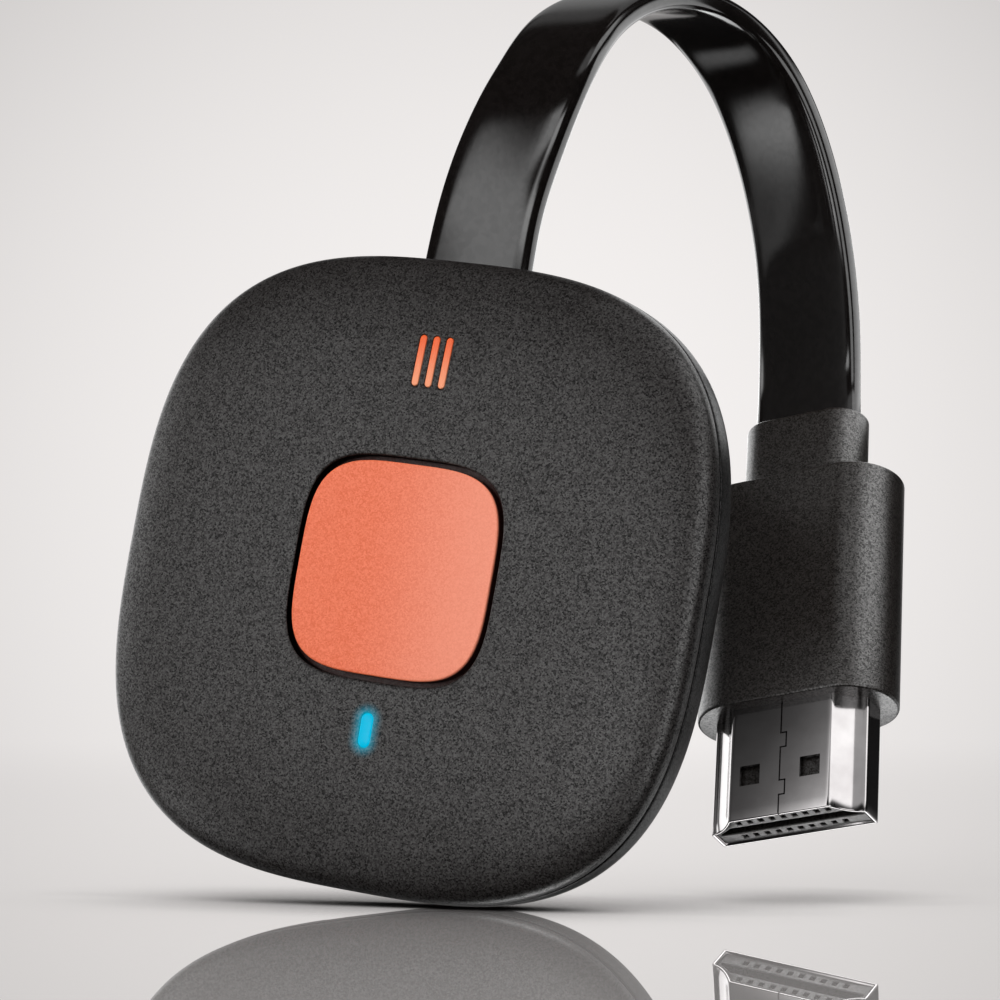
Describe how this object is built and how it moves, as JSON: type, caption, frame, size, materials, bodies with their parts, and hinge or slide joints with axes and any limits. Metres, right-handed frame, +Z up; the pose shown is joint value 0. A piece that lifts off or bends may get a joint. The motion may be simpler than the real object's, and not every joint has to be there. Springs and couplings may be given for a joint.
{
  "type": "wireless display dongle",
  "caption": "Domed squircle puck with a square push button, light slots and a status light, on a short flat lead that arches over to an HDMI plug.",
  "frame": {"origin": "middle of the HDMI plug's mating end face", "axes": "+Z up along the puck's height, towards the edge where the lead leaves it; -Y the way the puck's front faces, +Y the way its flat back faces; +X to the right seen from the front"},
  "size_m": [0.0624, 0.0368, 0.0804],
  "materials": {
    "puck_front": "fine spark-eroded grain, matte",
    "puck_back": "fine grain, satin black",
    "button_orange": "satin orange, fine grain",
    "light_orange": "smooth tinted light guide",
    "light_cyan": "smooth lit light pipe",
    "board_green": "solder mask over glass fibre",
    "chip_black": "moulded epoxy",
    "lamp_clear": "clear cast resin",
    "switch_black": "moulded nylon",
    "plastic_natural": "undyed moulded plastic",
    "ceramic_tan": "fired chip ceramic",
    "can_steel": "tin-plated sheet",
    "screw_steel": "zinc-plated",
    "spreader_aluminium": "rolled sheet",
    "pad_grey": "soft silicone gap pad",
    "contact_gold": "gold-plated strip",
    "copper": "bare copper",
    "gland_rubber": "soft matte rubber",
    "lead_black": "glossy flexible PVC",
    "plug_black": "fine-grained satin overmould",
    "shell_metal": "polished dark nickel plating",
    "insulator_grey": "moulded liquid-crystal polymer"
  },
  "bodies": {
    "root": {"front_cover": "puck_front", "back_cover": "puck_back", "slot_light_guide": "light_orange", "status_light_pipe": "light_cyan", "main_board": "board_green", "tact_switch": "switch_black", "status_led": "lamp_clear", "slot_leds": "lamp_clear", "processor_chip": "chip_black", "memory_chip": "chip_black", "radio_chip": "chip_black", "radio_shield": "can_steel", "clock_crystal": "can_steel", "power_coils": "chip_black", "capacitors": "ceramic_tan", "heat_spreader": "spreader_aluminium", "thermal_pad": "pad_grey", "antenna": "contact_gold", "board_screws": "screw_steel", "power_inlet_shell": "can_steel", "power_inlet_tongue": "switch_black", "power_inlet_contacts": "contact_gold", "lead_socket": "plastic_natural", "lead_tail": "lead_black", "cable_gland": "gland_rubber", "flat_lead": "lead_black", "strain_relief": "plug_black", "plug_body": "plug_black", "lead_plug_end": "lead_black", "inner_mould": "plastic_natural", "plug_conductors": "copper", "metal_shroud": "can_steel", "plug_shell": "shell_metal", "plug_insulator": "insulator_grey", "contacts_narrow": "contact_gold", "contacts_wide": "contact_gold"},
    "button": {"mode_button": "button_orange"},
    "plunger": {"switch_plunger": "plastic_natural"}
  },
  "joints": [
    {"name": "button_press", "type": "slide", "parent": "root", "child": "button", "axis": [0, 1, 0], "range_m": [0, 0.0003], "stiffness_N_per_m": 1500, "springref_m": -0.0002},
    {"name": "plunger_press", "type": "slide", "parent": "root", "child": "plunger", "axis": [0, 1, 0], "range_m": [0, 0.0003]}
  ],
  "couplings": [
    {"joint": "plunger_press", "follows": "button_press", "ratio": 1}
  ]
}
